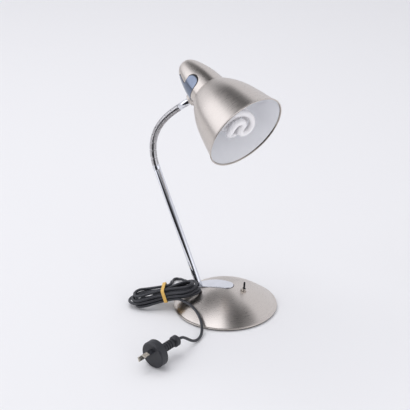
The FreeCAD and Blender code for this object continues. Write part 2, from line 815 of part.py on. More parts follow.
def make_lamp():
    rear = holder_front - 0.5
    housing = turned([(0, housing_front), (housing_radius - 3, housing_front),
                      (housing_radius, housing_front + 3), (housing_radius, housing_front + 8),
                      (housing_rear_radius, rear), (0, rear)])
    save("bulb_housing", placed(housing, head_frame))
    cap = rod(cap_radius, rear, rear + cap_length)
    tip = rod(cap_tip_radius, rear + cap_length, rear + cap_length + cap_tip_length)
    save("bulb_cap", placed(cleaned(cap.fuse(tip)), head_frame))

    def helix(angle, back):
        a = math.radians(angle)
        return V(spiral_radius * math.cos(a), spiral_radius * math.sin(a), back)

    def heading(angle, slope):
        a = math.radians(angle)
        return unit(V(-math.sin(a), math.cos(a), -slope))

    slope = spiral_pitch / (2 * math.pi * spiral_radius)
    quarter_rise = spiral_pitch / 4
    quarters = int(round(4 * spiral_turns))
    up = []
    up.append((helix(-spiral_entry_angle, housing_front), V(0, 0, -1)))
    up.append((helix(-spiral_entry_angle, housing_front - spiral_entry_length), V(0, 0, -1)))
    for k in range(quarters):
        up.append((helix(90 * k, spiral_start_back - quarter_rise * k), heading(90 * k, slope)))
    top_angle = 90 * quarters
    top_back = spiral_start_back - quarter_rise * quarters
    up.append((helix(top_angle, top_back), heading(top_angle, 0)))
    centre = V(0, 0, top_back)
    across = heading(top_angle, 0) * -1
    half_turn = FreeCAD.Rotation(Z_AXIS, 180)
    down = [(half_turn.multVec(p), half_turn.multVec(t) * -1) for p, t in reversed(up)]
    edges = smooth_path(up + [(centre, across)] + down)
    tube = tube_along(edges, lamp_tube_radius, "bulb_tube")
    least_gap(edges, lamp_tube_radius, "bulb_tube", 3.0)
    save("bulb_tube", placed(tube, head_frame))


# ---- toggle switch, built with Z along the dome's normal ------------------
def make_switch():
    seat = -dome_wall - switch_washer_thickness
    body = Part.makeBox(switch_body_length, switch_body_width, switch_body_depth,
                        V(-switch_body_length / 2, -switch_body_width / 2, seat - switch_body_depth))
    bushing = rod(bushing_radius, seat, bushing_height)
    body = body.fuse(bushing).cut(rod(bushing_bore, bushing_height - bushing_bore_depth, bushing_height + 1))
    save("switch_body", placed(cleaned(body), switch_frame))

    washer = rod(switch_washer_radius, seat, 1).cut(rod(bushing_radius, seat - 1, 2))
    washer = placed(washer, switch_frame).common(dome_ball(-dome_wall))
    save("switch_washer", cleaned(washer))

    nut = ring_nut(switch_nut_flats, bushing_radius, -1, switch_nut_height)
    save("switch_nut", cleaned(placed(nut, switch_frame).cut(dome_ball(0))))

    tags = []
    floor = seat - switch_body_depth
    for k in range(terminal_count):
        x = (k - (terminal_count - 1) / 2) * terminal_pitch
        tag = Part.makeBox(terminal_thickness, terminal_width, terminal_length,
                           V(x - terminal_thickness / 2, -terminal_width / 2, floor - terminal_length))
        tags.append(placed(tag, switch_frame))
    save("switch_terminals", *tags)

    ball = Part.makeSphere(lever_ball_radius)
    shaft = Part.makeCone(lever_radius, lever_tip_radius, lever_length)
    tip = Part.makeSphere(lever_tip_radius, V(0, 0, lever_length))
    tail = rod(lever_tail_radius, -lever_tail_length, 0)
    lever = ball.fuse([shaft, tip, tail])
    lever.rotate(ORIGIN, Y_AXIS, -lever_lean)
    lever.translate(V(0, 0, lever_pivot))
    save("switch_lever", placed(cleaned(lever), switch_frame))


# ---- mains lead -----------------------------------------------------------
hank_rotation = FreeCAD.Rotation(Z_AXIS, hank_heading).multiply(FreeCAD.Rotation(Y_AXIS, -hank_slope))
hank_frame = FreeCAD.Placement(hank_middle, hank_rotation)


def waist_share(a):
    return (1 - math.cos(math.pi * a / bundle_turn_a)) / 2


def bundle_point(a, side, half_run, layer):
    """Point of the bundle: a along it, front side +1, layers from below."""
    across = half_run + bundle_waist * waist_share(a)
    return V(a, -side * across, (layer - 1.5) * strand_step)


def bundle_direction(a, side, travel):
    slope = bundle_waist * math.sin(math.pi * a / bundle_turn_a) * math.pi / (2 * bundle_turn_a)
    return unit(V(travel, -side * slope * travel, 0))


def hank_stations():
    stations = []
    layer = 0
    straight = 2 * cord_radius
    last = len(bundle_half_runs) - 1
    for h, half_run in enumerate(bundle_half_runs):
        side = 1 if h % 2 == 0 else -1
        travel = -side
        next_layer = layer + 1 if h in bundle_climbs else layer
        if h == 0:
            point = bundle_point(bundle_start_a, side, half_run, layer)
            direction = bundle_direction(bundle_start_a, side, travel)
            stations.append((point, direction))
            stations.append((point + direction * straight, direction))
        else:
            stations.append((bundle_point(-travel * bundle_turn_a, side, half_run, layer), V(travel, 0, 0)))
        if h == last:
            point = bundle_point(bundle_end_a, side, half_run, layer)
            direction = bundle_direction(bundle_end_a, side, travel)
            stations.append((point - direction * straight, direction))
            stations.append((point, direction))
            continue
        waist = bundle_point(0, side, half_run, (layer + next_layer) / 2)
        if next_layer == layer:
            stations.append((waist, V(travel, 0, 0)))
        else:
            climb = strand_step / bundle_turn_a * 0.9
            stations.append((waist, unit(V(travel, 0, climb))))
        layer = next_layer
        stations.append((bundle_point(travel * bundle_turn_a, side, half_run, layer), V(travel, 0, 0)))
    return [(hank_frame.multVec(p), hank_rotation.multVec(t)) for p, t in stations]


def make_hank():
    stations = hank_stations()
    edges = smooth_path(stations)
    tube = tube_along(edges, cord_radius, "cord_hank")
    least_gap(edges, cord_radius, "cord_hank", 2.0)
    lowest = tube.BoundBox.ZMin
    print("cord_hank lowest %.2f" % lowest)
    save("cord_hank", tube)
    return stations


def make_lead(stations):
    """Free stretch from the hank to the bushing, lying on the floor between."""
    start, heading = stations[-1]
    outward, height = bushing_path()
    end = height + outward * bushing_outer_reach
    points = [start, start + heading * lead_first_run]
    points += [hank_frame.multVec(p) for p in lead_over_bundle]
    points += lead_route
    points += [end + outward * lead_last_run, end]
    edges = rounded_route(points, "cord_lead")
    save("cord_lead", tube_along(edges, cord_radius, "cord_lead"))


def make_tail(stations):
    """Free stretch from the hank over the dome's edge to the plug."""
    start, heading = stations[0]
    cord_end = plug_frame.multVec(V(0, 0, -boot_end))
    backward = plug_frame.Rotation.multVec(V(0, 0, -1))
    points = [start, start - heading * tail_first_run]
    points += tail_route
    points += [cord_end + backward * tail_last_run, cord_end]
    edges = rounded_route(points, "cord_tail")
    save("cord_tail", tube_along(edges, cord_radius, "cord_tail"))


def make_bushing():
    """Tapered rubber sleeve in the dome's edge, with the cord through it."""
    where = frame_at(V(0, 0, exit_height), bushing_path()[0], Z_AXIS)
    sleeve = turned([(cord_radius + cord_clearance, bushing_inner_reach),
                     (bushing_flange_radius, bushing_inner_reach),
                     (bushing_flange_radius, bushing_inner_reach + bushing_flange_thickness),
                     (bushing_root_radius, bushing_inner_reach + bushing_flange_thickness),
                     (bushing_root_radius, base_radius),
                     (bushing_end_radius, bushing_outer_reach),
                     (cord_radius + cord_clearance, bushing_outer_reach)])
    sleeve = placed(sleeve, where).cut(rod(2 * base_radius, 0, lip_top))
    save("cord_bushing", cleaned(sleeve))
    inner = rod(cord_radius, cord_inner_reach, bushing_outer_reach)
    save("cord_inner", placed(inner, where))


def rounded_box(y_low, y_high, z_low, z_high, corner, width):
    """Bar along X with rounded edges, its section given in Y and Z."""
    bar = Part.makeBox(width, y_high - y_low, z_high - z_low, V(-width / 2, y_low, z_low))
    edges = [e for e in bar.Edges if abs(e.Length - width) < 1e-6 and abs(e.tangentAt(0).x) > 0.9]
    return bar.makeFillet(corner, edges)


def make_tie():
    """Rubber band round the bundle's waist."""
    reach = cord_radius + tie_gap
    front = -max(bundle_half_runs[0::2]) - reach
    back = max(bundle_half_runs[1::2]) + reach
    top = 1.5 * strand_step + reach
    inner = rounded_box(front, back, -top, top, reach, tie_width + 2)
    t = tie_thickness
    outer = rounded_box(front - t, back + t, -top - t, top + t, reach + t, tie_width)
    save("cord_tie", placed(outer.cut(inner), hank_frame))


# ---- plug, built with Z out of its face -----------------------------------
plug_normal = V(math.cos(math.radians(plug_pitch)) * math.cos(math.radians(plug_heading)),
                math.cos(math.radians(plug_pitch)) * math.sin(math.radians(plug_heading)),
                math.sin(math.radians(plug_pitch)))
plug_frame = frame_at(plug_face, plug_normal, plug_roll_hint)


def pin_block(width, thickness, start, end, side):
    """Bar of a pin's section on one side of the plug."""
    bar = Part.makeBox(width, thickness, end - start, V(-width / 2, -thickness / 2, start))
    bar.rotate(ORIGIN, Z_AXIS, side * pin_angle)
    bar.translate(V(-pin_offset, side * pin_spacing / 2, 0))
    return bar


def make_plug():
    body = turned([(0, 0), (plug_radius - plug_rim, 0), (plug_radius, -plug_rim),
                   (plug_radius, -plug_side), (plug_back_radius, -plug_thickness), (0, -plug_thickness)])
    core_width = pin_width - 2 * sleeve_thickness
    core_thickness = pin_thickness - 2 * sleeve_thickness
    pins = []
    sleeves = []
    for side in (-1, 1):
        core = pin_block(core_width, core_thickness, -pin_root, sleeve_length, side)
        blade = pin_block(pin_width, pin_thickness, sleeve_length, pin_length, side)
        body = body.cut(core)
        pins.append(placed(cleaned(core.fuse(blade)), plug_frame))
        cover = pin_block(pin_width, pin_thickness, 0, sleeve_length, side)
        sleeves.append(placed(cover.cut(core), plug_frame))
    save("plug_body", placed(cleaned(body), plug_frame))
    save("plug_pins", *pins)
    save("pin_sleeves", *sleeves)

    outline = [(0, -plug_thickness), (boot_root_radius, -plug_thickness),
               (boot_groove_radius, -boot_ribs_start)]
    for k in range(boot_rib_count):
        near = boot_ribs_start + k * boot_rib_pitch
        outline += [(boot_rib_radius, -near), (boot_rib_radius, -near - boot_rib_width),
                    (boot_groove_radius, -near - boot_rib_width),
                    (boot_groove_radius, -near - boot_rib_pitch)]
    outline = outline[:-1]
    r = boot_collar_round
    outline += [(boot_groove_radius, -boot_collar_start),
                (boot_collar_radius - r, -boot_collar_start),
                (boot_collar_radius, -boot_collar_start - r),
                (boot_collar_radius, -boot_end + r + 1),
                (boot_collar_radius - r - 1, -boot_end), (0, -boot_end)]
    save("plug_boot", placed(turned(outline), plug_frame))


if __name__ == "__main__":
    os.makedirs("parts", exist_ok=True)
    make_base_pad()
    make_bottom_plate()
    make_base_screws()
    make_base_dome()
    make_base_weight()
    make_base_leaf()
    make_stem()
    make_links()
    make_ferrule()
    make_shade()
    make_neck_cover()
    make_neck_saddle()
    make_holder()
    make_holder_bracket()
    make_lamp()
    make_switch()
    cord_stations = make_hank()
    make_lead(cord_stations)
    make_tail(cord_stations)
    make_bushing()
    make_tie()
    make_plug()
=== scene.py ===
import json
import math
import random

import bmesh
import bpy
import numpy as np
from mathutils import Matrix, Vector


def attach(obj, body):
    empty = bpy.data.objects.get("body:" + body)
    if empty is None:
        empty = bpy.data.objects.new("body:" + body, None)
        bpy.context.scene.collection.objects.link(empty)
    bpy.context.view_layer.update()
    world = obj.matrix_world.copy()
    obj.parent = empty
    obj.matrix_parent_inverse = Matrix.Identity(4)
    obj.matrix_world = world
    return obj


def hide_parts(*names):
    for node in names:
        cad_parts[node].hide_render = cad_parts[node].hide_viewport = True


# Dome shade desk lamp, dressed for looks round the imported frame. Lengths below
# are millimetres until a mesh is made; Blender works in metres.

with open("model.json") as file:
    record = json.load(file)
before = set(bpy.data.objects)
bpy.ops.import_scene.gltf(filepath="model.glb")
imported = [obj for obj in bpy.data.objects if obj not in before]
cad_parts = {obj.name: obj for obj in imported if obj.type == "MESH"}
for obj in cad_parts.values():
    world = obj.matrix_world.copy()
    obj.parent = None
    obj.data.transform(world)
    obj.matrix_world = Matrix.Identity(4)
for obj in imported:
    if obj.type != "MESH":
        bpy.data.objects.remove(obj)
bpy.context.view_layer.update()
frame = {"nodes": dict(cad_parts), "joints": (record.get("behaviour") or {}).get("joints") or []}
MM = 0.001
SIDEWAYS = Vector((0, 1, 0))

# steps round a turned piece
BROAD_STEPS = 192
COVER_STEPS = 160
NARROW_STEPS = 96
LINK_STEPS = 40

# ---- camera, as the photograph was taken ----------------------------------
CAMERA_AT = Vector((567.5, -1412.3, 871.9)) * MM
CAMERA_AZIMUTH = 23.0
CAMERA_ELEVATION = 25.04
CAMERA_SENSOR = 36.0
FOCAL_PIXELS = 1200.0
PICTURE_WIDTH = 410.0

# ---- base -----------------------------------------------------------------
BASE_RADIUS = 75.0
PAD_TOP = 2.0
DOME_RISE = 32.0
DOME_WALL = 1.2
SPHERE_RADIUS = (BASE_RADIUS ** 2 + DOME_RISE ** 2) / (2 * DOME_RISE)
SPHERE_CENTRE = PAD_TOP + DOME_RISE - SPHERE_RADIUS
RIM_ROLL = 1.1
LEAF_RISE = 1.2
LEAF_FRONT = (1.5, 10.4)
LEAF_MIDDLE = (-28.0, 11.4)
LEAF_REAR = (-46.0, 8.5)
LEAF_BEVEL = 0.6
LEAF_CENTRE = (-18.0, 0.0)
LEAF_SPAN = 14.0
# width of the painted shadow strip just outside the leaf's edge
LEAF_SHADOW_WIDTH = 0.35
DOME_LIP = 9.0

# ---- stem and gooseneck ---------------------------------------------------
STEM_RADIUS = 5.0
STEM_FOOT = Vector((-41.5, 0, 25.2))
STEM_BORE = 4.0
STEM_SUNK = 3.0
STEM_CHAMFER = 0.3
CAP_LENGTH = 6.0
NECK_END = Vector((-69.9, 0, 296.4))
SPIGOT_RADIUS = 3.95
SPIGOT_END = 19.5
FERRULE_BORE = 2.2
FERRULE_CHAMFER = 0.5
LINK_LENGTH = 12.0
NECK_START_ANGLE = 106.0
LINK_TURNS = (6.7, 7.8, 11.0, 10.0, 9.5, 9.0, 6.8, 4.7, 3.4)
LINK_GAP = 1.35
RIB_PITCH = 1.38
RIB_COUNT = 8
RIB_CREST = 5.0
RIB_GROOVE = 4.2
RIB_WIDTH = 0.98
# share of a rib's width, share of its rise
RIB_SHAPE = ((0.0, 0.0), (0.18, 0.62), (0.36, 0.90), (0.5, 1.0), (0.64, 0.90), (0.82, 0.62),
             (1.0, 0.0))

# ---- head -----------------------------------------------------------------
HEAD_TILT = 67.8
HEAD_TURN = -25.8
MOUTH_TO_PIVOT = 88.5
SHADE_OUTLINE = ((58.2, 0.0), (55.7, 10.0), (53.3, 20.0), (49.5, 35.0), (44.9, 50.0),
                 (38.0, 65.0), (33.3, 73.0), (27.3, 81.6))
SHADE_WALL = 0.9
SHADE_HOLE = 17.8
LIP_BEAD = 1.0
CREASE_BACK = 82.0
CREASE_RADIUS = 27.0
SEAM_RISE = 30.0
COVER_OUTLINE = ((27.0, 82.0), (26.0, 90.0), (24.8, 100.0), (22.8, 110.0), (20.0, 120.0),
                 (16.4, 130.0), (13.4, 136.0), (8.6, 141.0), (0.0, 143.0))
COVER_WALL = 2.2
BOSS_RADIUS = 9.0
BOSS_REACH = 30.5
BOSS_FOOT = 24.0
BOSS_BORE = 4.05
BOSS_EDGE = 1.0
SADDLE_FRONT = 91.4
SADDLE_BACK = 110.6
SADDLE_HALF_ANGLE = 91.0
LOBE_RADIUS = 9.6
TONGUE_BACK = 129.0
TONGUE_HALF_ANGLE = 62.0
TONGUE_FLARE = 5.0
TONGUE_TAPER = 9.0
TONGUE_FILLET = 2.2
TONGUE_NOSE = 3.5
SADDLE_PROUD = 0.35
SADDLE_EDGE = 0.028
SADDLE_CENTRE = (0.0, 104.0)
SADDLE_COVER_RADIUS = 24.7
SADDLE_SLOPE_STEP = 0.5
# rings of the painted shadow strip round the saddle's edge: share, rise
GAP_SHADOW_RINGS = ((1.045, 0.05), (1.03, 0.07), (1.015, 0.07), (1.0, 0.07), (0.98, 0.07))

# ---- mains lead, the same routes as the solids ----------------------------
CORD_DIAMETER = 4.0
EXIT_AZIMUTH = 157.0
EXIT_HEIGHT = 6.6
EXIT_REACH = 86.0
HANK_MIDDLE = Vector((-78.5, -37.7, 22.7))
HANK_HEADING = 17.3
HANK_SLOPE = 15.8
STRAND_STEP = 4.8
HALF_RUNS = (9.6, 7.2, 4.8, 2.4, 4.8, 7.2, 9.6, 12.0, 9.6, 7.2, 4.8, 2.4, 4.8, 7.2)
CLIMBS = (3, 7, 11)
TURN_A = 34.2
WAIST = 5.0
START_A = 12.0
END_A = 3.5
LEAD_FIRST_RUN = 5.0
LEAD_OVER_BUNDLE = ((10.9, 11.6, 8.2), (9.8, 18.0, 7.2))
LEAD_ROUTE = ((-80.0, -12.0, 27.0), (-84.3, -5.0, 20.0), (-88.3, 3.0, 13.5),
              (-92.3, 12.0, 8.0), (-95.6, 21.5, 3.6), (-98.2, 30.8, 2.2),
              (-99.6, 38.6, 2.2), (-97.0, 42.6, 2.2), (-92.4, 42.6, 2.4))
LEAD_LAST_RUN = 7.0
TAIL_FIRST_RUN = 8.0
TAIL_ROUTE = ((-47.0, -45.5, 20.5), (-34.5, -50.5, 20.5), (-23.3, -57.7, 19.0),
              (-13.9, -65.7, 16.0), (-6.4, -74.4, 12.0), (-1.1, -83.0, 7.5),
              (2.1, -92.0, 4.0), (3.3, -101.2, 2.6), (2.3, -110.4, 2.9),
              (0.1, -117.8, 5.5), (-2.7, -124.1, 10.5), (-5.4, -130.7, 16.5))
TAIL_LAST_RUN = 7.0
HANK_SEED = 7
STRAND_STRAY = 0.9
LOOP_SPREAD = (-2.5, 6.5)
LOOP_LIFT = (-1.2, 2.6)
LOOP_SWELL = 1.02
RUN_STATIONS = (-0.82, -0.5, -0.17, 0.17, 0.5, 0.82)

# ---- plug -----------------------------------------------------------------
PLUG_FACE = Vector((-26.4, -193.0, 19.0))
PLUG_HEADING = -108.45
PLUG_PITCH = -2.24
PLUG_HINT = Vector((0.642, -0.195, -0.725))
BOOT_END = 51.0

# ---- room, in metres ------------------------------------------------------
FLOOR_COLOUR = (0.84, 0.84, 0.865)
SHEET_FRONT = 0.34
FLOOR_REACH = 14.0
BACKDROP = (0.86, 0.86, 0.895)
WORLD_PALE = (0.95, 0.95, 0.98)
WORLD_STRENGTH = 0.69
GLOSSY_TINT = (0.93, 0.94, 1.0)
GLOSSY_BASE = 0.92
# direction, full angle, edge angle, level against the rest
ZONES = (((0.40, 0.02, 0.91), 12, 32, 0.06), ((-0.36, 0.24, 0.90), 14, 32, 0.12),
         ((0.0, -0.97, -0.20), 34, 56, 0.04), ((-0.80, -0.42, 0.36), 12, 34, 2.1),
         ((-0.14, -0.54, 0.83), 12, 29, 2.4), ((0.96, -0.25, 0.05), 10, 30, 1.5),
         ((0.60, -0.66, 0.45), 10, 34, 0.35))
LAMP_TARGET = Vector((0, 0, 0.15))
# name, place, size, power
LAMPS = (("key_left", (-1.9, -1.7, 2.2), 1.3, 9.0), ("overhead", (-0.8, 0.2, 2.7), 2.4, 31.0),
         ("fill_low", (1.6, -1.2, 0.45), 1.0, 7.0))


# ---- helpers --------------------------------------------------------------
def polar(angle):
    """Direction in the lamp's middle plane, angle up from +X."""
    a = math.radians(angle)
    return Vector((math.cos(a), 0, math.sin(a)))


def axes_at(origin, z_direction, hint):
    """Matrix (millimetres) whose Z runs along z_direction and X near hint."""
    z = z_direction.normalized()
    y = z.cross(hint).normalized()
    x = y.cross(z)
    matrix = Matrix((x, y, z)).transposed().to_4x4()
    matrix.translation = origin
    return matrix


def smooth_profile(points, count):
    """Natural cubic curve through (radius, back) points."""
    p = np.array(points, float)
    t = np.concatenate([[0], np.cumsum(np.hypot(*np.diff(p, axis=0).T))])
    n = len(p)
    h = np.diff(t)
    system = np.eye(n)
    right = np.zeros((n, 2))
    for i in range(1, n - 1):
        system[i, i - 1:i + 2] = (h[i - 1], 2 * (h[i - 1] + h[i]), h[i])
        right[i] = 6 * ((p[i + 1] - p[i]) / h[i] - (p[i] - p[i - 1]) / h[i - 1])
    m = np.linalg.solve(system, right)
    out = []
    for u in np.linspace(0, t[-1], count):
        i = min(np.searchsorted(t, u, side="right") - 1, n - 2)
        a = (t[i + 1] - u) / h[i]
        b = (u - t[i]) / h[i]
        bend = ((a ** 3 - a) * m[i] + (b ** 3 - b) * m[i + 1]) * h[i] ** 2 / 6
        out.append(a * p[i] + b * p[i + 1] + bend)
    return out


def joint_named(name):
    return next(joint for joint in frame["joints"] if joint["name"] == name)


def joint_place(name):
    """A joint's point, in millimetres."""
    return Vector([v / MM for v in joint_named(name)["pos_m"]])


def link_object(name, data):
    obj = bpy.data.objects.new(name, data)
    bpy.context.scene.collection.objects.link(obj)
    return obj


def mesh_from(bm, name):
    """Mesh of the faces, their normals outward."""
    bmesh.ops.recalc_face_normals(bm, faces=bm.faces)
    mesh = bpy.data.meshes.new(name)
    bm.to_mesh(mesh)
    bm.free()
    return mesh


def add_object(name, mesh, matrix, body, material, replaces=(), sharp=35.0):
    """Links a mesh made in millimetres, places it and sets it on its body."""
    mesh.transform(Matrix.Scale(MM, 4))
    mesh.update()
    obj = link_object(name, mesh)
    placed = matrix.copy()
    placed.translation = placed.translation * MM
    obj.matrix_world = placed
    for polygon in mesh.polygons:
        polygon.use_smooth = True
    mesh.set_sharp_from_angle(angle=math.radians(sharp))
    for one in (material if isinstance(material, (list, tuple)) else [material]):
        mesh.materials.append(one)
    bpy.context.view_layer.update()
    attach(obj, body)
    if replaces:
        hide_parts(*replaces)
    return obj


def lathe_mesh(name, profile, segments):
    """Surface of revolution about Z through (radius, height) points; a radius
    of nought closes an end. The profile runs once round the section."""
    bm = bmesh.new()
    rings = []
    for radius, height in profile:
        if radius < 1e-6:
            rings.append([bm.verts.new((0, 0, height))])
            continue
        rings.append([bm.verts.new((radius * math.cos(2 * math.pi * k / segments),
                                    radius * math.sin(2 * math.pi * k / segments), height))
                      for k in range(segments)])
    closed = len(rings[0]) > 1 and len(rings[-1]) > 1
    pairs = list(zip(rings, rings[1:])) + ([(rings[-1], rings[0])] if closed else [])
    for low, high in pairs:
        for k in range(segments):
            j = (k + 1) % segments
            if len(low) == 1 and len(high) == 1:
                continue
            if len(low) == 1:
                bm.faces.new((low[0], high[j], high[k]))
            elif len(high) == 1:
                bm.faces.new((low[k], low[j], high[0]))
            else:
                bm.faces.new((low[k], low[j], high[j], high[k]))
    return mesh_from(bm, name)


def arc_points(centre_r, centre_z, radius, start, end, count):
    """Points on an arc of the section, angles in degrees from +radius."""
    out = []
    for k in range(count):
        a = math.radians(start + (end - start) * k / (count - 1))
        out.append((centre_r + radius * math.cos(a), centre_z + radius * math.sin(a)))
    return out


# ---- materials ------------------------------------------------------------
BRUSH_TURN = 0.25


class Shader:
    """Small helper round a material's nodes."""

    def __init__(self, name):
        self.material = bpy.data.materials.new(name)
        self.material.use_nodes = True
        self.tree = self.material.node_tree
        self.bsdf = self.tree.nodes["Principled BSDF"]

    def node(self, kind, **settings):
        made = self.tree.nodes.new(kind)
        for key, value in settings.items():
            setattr(made, key, value)
        return made

    def link(self, source, target):
        self.tree.links.new(source, target)

    def values(self, **settings):
        for key, value in settings.items():
            self.bsdf.inputs[key.replace("_", " ")].default_value = value

    def rough(self, factor, low, high):
        self.link(self.ramp(factor, low, high), self.bsdf.inputs["Roughness"])

    def coordinates(self):
        return self.node("ShaderNodeTexCoord").outputs["Object"]

    def math(self, operation, first, second=None):
        made = self.node("ShaderNodeMath", operation=operation)
        for socket, value in zip(made.inputs, (first, second)):
            if value is None:
                continue
            if isinstance(value, (int, float)):
                socket.default_value = value
            else:
                self.link(value, socket)
        return made.outputs[0]

    def noise(self, vector, scale, detail=3.0, roughness=0.55):
        made = self.node("ShaderNodeTexNoise")
        made.inputs["Scale"].default_value = scale
        made.inputs["Detail"].default_value = detail
        made.inputs["Roughness"].default_value = roughness
        self.link(vector, made.inputs["Vector"])
        return made.outputs["Fac"]

    def ramp(self, factor, low, high):
        """Map a factor to a range of numbers."""
        made = self.node("ShaderNodeMapRange")
        self.link(factor, made.inputs["Value"])
        made.inputs["From Min"].default_value = 0.3
        made.inputs["From Max"].default_value = 0.7
        made.inputs["To Min"].default_value = low
        made.inputs["To Max"].default_value = high
        return made.outputs["Result"]

    def colours(self, factor, dark, light):
        made = self.node("ShaderNodeMix", data_type="RGBA")
        made.inputs["A"].default_value = (*dark, 1)
        made.inputs["B"].default_value = (*light, 1)
        self.link(self.ramp(factor, 0.0, 1.0), made.inputs["Factor"])
        self.link(made.outputs["Result"], self.bsdf.inputs["Base Color"])

    def bump(self, height, strength, distance):
        made = self.node("ShaderNodeBump")
        made.inputs["Strength"].default_value = strength
        made.inputs["Distance"].default_value = distance
        self.link(height, made.inputs["Height"])
        self.link(made.outputs["Normal"], self.bsdf.inputs["Normal"])


def ring_coordinates(shader):
    """Coordinates that run with rings about local Z: brushing follows them."""
    split = shader.node("ShaderNodeSeparateXYZ")
    shader.link(shader.coordinates(), split.inputs[0])
    x, y, z = split.outputs
    radius = shader.math("SQRT", shader.math("ADD", shader.math("MULTIPLY", x, x),
                                             shader.math("MULTIPLY", y, y)))
    turn = shader.math("ARCTAN2", y, x)
    joined = shader.node("ShaderNodeCombineXYZ")
    shader.link(radius, joined.inputs[0])
    shader.link(z, joined.inputs[1])
    shader.link(shader.math("MULTIPLY", turn, 0.0016), joined.inputs[2])
    return joined.outputs[0]


def brushed_nickel(name, dark, light, roughness, anisotropy):
    """Satin nickel, brushed in rings about local Z."""
    shader = Shader(name)
    shader.values(Metallic=1.0, Anisotropic=anisotropy)
    rings = ring_coordinates(shader)
    streaks = shader.noise(rings, 2600.0, 4.0, 0.7)
    shader.colours(streaks, dark, light)
    shader.rough(streaks, roughness - 0.05, roughness + 0.05)
    tangent = shader.node("ShaderNodeTangent", direction_type="RADIAL", axis="Z")
    shader.link(tangent.outputs[0], shader.bsdf.inputs["Tangent"])
    shader.values(Anisotropic_Rotation=BRUSH_TURN)
    shader.bump(streaks, 0.03, 0.00001)
    return shader.material


def plain_metal(name, dark, light, roughness, scale=900.0):
    shader = Shader(name)
    shader.values(Metallic=1.0)
    cloud = shader.noise(shader.coordinates(), scale)
    shader.colours(cloud, dark, light)
    shader.rough(cloud, roughness * 0.8, roughness * 1.2)
    return shader.material


def moulded(name, dark, light, roughness, grain, depth, coat=0.0):
    """Plastic, rubber or paint with a fine grain."""
    shader = Shader(name)
    shader.values(Metallic=0.0, Coat_Weight=coat)
    grains = shader.noise(shader.coordinates(), grain)
    patches = shader.noise(shader.coordinates(), grain * 0.04)
    shader.colours(patches, dark, light)
    shader.rough(patches, roughness * 0.9, roughness * 1.1)
    shader.bump(grains, 0.3, depth)
    return shader.material


NICKEL = brushed_nickel("brushed_nickel", (0.60, 0.55, 0.505), (0.68, 0.63, 0.585), 0.30, 0.85)
NICKEL_PLAIN = plain_metal("satin_nickel", (0.58, 0.54, 0.50), (0.68, 0.64, 0.60), 0.22)
CHROME = plain_metal("polished_chrome", (0.70, 0.71, 0.745), (0.76, 0.77, 0.805), 0.05, 60.0)
FLEX = plain_metal("gooseneck_chrome", (0.58, 0.57, 0.575), (0.66, 0.65, 0.655), 0.12, 300.0)
# Saddle chrome with a dark blue base colour: a painted reflection of a dark blue surround, not the plate's
# own tone.
SADDLE_REFLECTION = plain_metal("saddle_chrome_painted_reflection", (0.17, 0.20, 0.26), (0.22, 0.25, 0.32), 0.07, 60.0)
PAINT = moulded("inner_paint", (0.85, 0.855, 0.885), (0.89, 0.895, 0.925), 0.38, 900.0, 0.00002)
STEEL = plain_metal("zinc_steel", (0.50, 0.50, 0.50), (0.62, 0.62, 0.61), 0.35)
IRON = moulded("cast_iron", (0.05, 0.05, 0.055), (0.08, 0.08, 0.085), 0.7, 700.0, 0.0002)
FOAM = moulded("pad_foam", (0.018, 0.018, 0.020), (0.030, 0.030, 0.033), 0.9, 1500.0, 0.0001)
GLASS_WHITE = moulded("lamp_coating", (0.86, 0.84, 0.85), (0.93, 0.92, 0.93), 0.25, 300.0, 0.00001, 0.5)
HOUSING = moulded("lamp_housing", (0.80, 0.80, 0.79), (0.86, 0.86, 0.85), 0.35, 600.0, 0.00002)
BRASS = plain_metal("brass", (0.62, 0.48, 0.22), (0.75, 0.60, 0.30), 0.3)
SHEATH = moulded("cord_sheath", (0.020, 0.021, 0.026), (0.038, 0.040, 0.048), 0.42, 1600.0, 0.00003)
RUBBER_BAND = moulded("rubber_band", (0.72, 0.44, 0.10), (0.86, 0.58, 0.20), 0.55, 900.0, 0.00006)
PLUG = moulded("plug_moulding", (0.016, 0.017, 0.021), (0.026, 0.027, 0.033), 0.48, 2600.0, 0.00005)
PINS = plain_metal("pin_nickel", (0.58, 0.54, 0.46), (0.74, 0.70, 0.62), 0.25)
LEVER = plain_metal("lever_black", (0.020, 0.020, 0.022), (0.040, 0.040, 0.044), 0.2)
# Near-black for the strips round the leaf and saddle: painted shadow in the gaps at their edges.
GAP_SHADOW_PAINT = moulded("painted_gap_shadow", (0.010, 0.010, 0.012), (0.016, 0.016, 0.018), 0.6, 900.0, 0.00001)

NODE_MATERIALS = {
    "base_pad": FOAM, "bottom_plate": STEEL, "base_screws": STEEL, "base_dome": NICKEL,
    "base_weight": IRON, "base_leaf": CHROME, "stem_tube": CHROME, "stem_cap": CHROME,
    "stem_stud": STEEL, "stem_washer": STEEL, "stem_nut": STEEL, "upper_ferrule": CHROME,
    "ferrule_washer": STEEL, "ferrule_nut": STEEL, "neck_cover": NICKEL, "neck_saddle": CHROME,
    "holder_bracket": STEEL, "holder_nut": STEEL, "lampholder": HOUSING, "holder_sleeve": BRASS,
    "holder_contact": BRASS, "shade_ring": HOUSING, "shade": NICKEL, "bulb_cap": STEEL,
    "bulb_housing": HOUSING, "bulb_tube": GLASS_WHITE, "switch_body": NICKEL_PLAIN,
    "switch_terminals": BRASS, "switch_washer": STEEL, "switch_nut": NICKEL_PLAIN,
    "switch_lever": LEVER, "cord_bushing": SHEATH, "cord_inner": SHEATH, "cord_lead": SHEATH,
    "cord_hank": SHEATH, "cord_tail": SHEATH, "cord_tie": RUBBER_BAND, "plug_body": PLUG,
    "plug_boot": PLUG, "plug_pins": PINS, "pin_sleeves": PLUG,
}


def dress_cad_nodes():
    for name, obj in frame["nodes"].items():
        material = FLEX if name.startswith("gooseneck_link") else NODE_MATERIALS[name]
        obj.data.materials.clear()
        obj.data.materials.append(material)
        for polygon in obj.data.polygons:
            polygon.use_smooth = True
        obj.data.set_sharp_from_angle(angle=math.radians(30))


